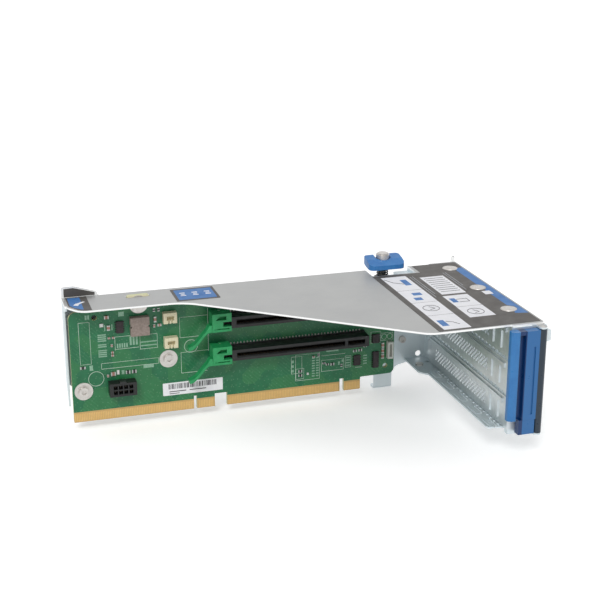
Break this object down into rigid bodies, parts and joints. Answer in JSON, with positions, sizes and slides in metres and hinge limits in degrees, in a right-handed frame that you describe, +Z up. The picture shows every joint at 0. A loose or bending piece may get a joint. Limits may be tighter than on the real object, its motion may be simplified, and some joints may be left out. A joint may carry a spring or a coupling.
{
  "type": "riser cage bracket",
  "caption": "Server riser cage: folded sheet bracket with a riser board, card connectors with levers, perforated slot covers, a blue half-turn latch and a hinged card retainer.",
  "frame": {"origin": "lower left corner of the riser board's contact edge, on its component face", "axes": "+X along the board towards the rear slot frame, +Y from the component face to the back wall, +Z up, away from the edge contacts"},
  "size_m": [0.2459, 0.1294, 0.0896],
  "materials": {
    "sheet_steel": "satin zinc-coated sheet",
    "bright_steel": "bright steel",
    "board_green": "solder mask over laminate",
    "gold": "gold plating",
    "black_plastic": "moulded black",
    "green_plastic": "moulded green",
    "blue_plastic": "moulded blue",
    "cream_plastic": "moulded cream",
    "white_plastic": "moulded white",
    "ferrite": "pressed ferrite",
    "chip_black": "chip moulding",
    "label_film": "printed film",
    "label_white": "printed paper label",
    "spring_steel": "dark spring steel"
  },
  "bodies": {
    "cage": {"cage_sheet": "sheet_steel", "slot_frame": "sheet_steel", "slot_cover_lower": "sheet_steel", "slot_cover_middle": "sheet_steel", "slot_cover_upper": "sheet_steel", "frame_rivets": "bright_steel", "corner_rivets": "bright_steel", "wall_stud": "bright_steel", "riser_board": "board_green", "edge_contacts": "gold", "board_screws": "bright_steel", "board_washers": "bright_steel", "board_standoffs": "bright_steel", "slot_connector_lower": "black_plastic", "slot_connector_upper": "black_plastic", "slot_contacts": "gold", "solder_tails": "bright_steel", "lever_pins": "bright_steel", "power_header": "black_plastic", "header_pins": "gold", "fan_socket_lower": "cream_plastic", "fan_socket_upper": "cream_plastic", "power_inductor": "ferrite", "regulator_chip": "chip_black", "bridge_chip": "chip_black", "logic_chip": "chip_black", "clock_chip": "chip_black", "edge_socket": "white_plastic", "latch_spring": "spring_steel", "latch_washer": "spring_steel", "retainer_pin": "bright_steel", "instruction_label": "label_film", "slot_label": "label_film", "end_label": "label_film", "lug_label": "label_film", "barcode_label": "label_white"},
    "latch": {"latch_knob": "blue_plastic", "latch_pin": "bright_steel"},
    "retainer": {"card_retainer": "blue_plastic"},
    "lever_lower": {"retention_lever_lower": "green_plastic"},
    "lever_upper": {"retention_lever_upper": "green_plastic"}
  },
  "joints": [
    {"name": "latch_turn", "type": "hinge", "parent": "cage", "child": "latch", "pos_m": [0.19, 0.00595, 0.076], "axis": [0, 0, 1], "range_deg": [0, 180]},
    {"name": "retainer_swing", "type": "hinge", "parent": "cage", "child": "retainer", "pos_m": [0.2369, -0.1105, 0.04], "axis": [0, 0, 1], "range_deg": [0, 95]},
    {"name": "lever_lower_press", "type": "hinge", "parent": "cage", "child": "lever_lower", "pos_m": [0.0857, -0.0044, 0.0346], "axis": [0, 0, 1], "range_deg": [-13, 0]},
    {"name": "lever_upper_press", "type": "hinge", "parent": "cage", "child": "lever_upper", "pos_m": [0.0857, -0.0044, 0.05492], "axis": [0, 0, 1], "range_deg": [-13, 0]}
  ]
}
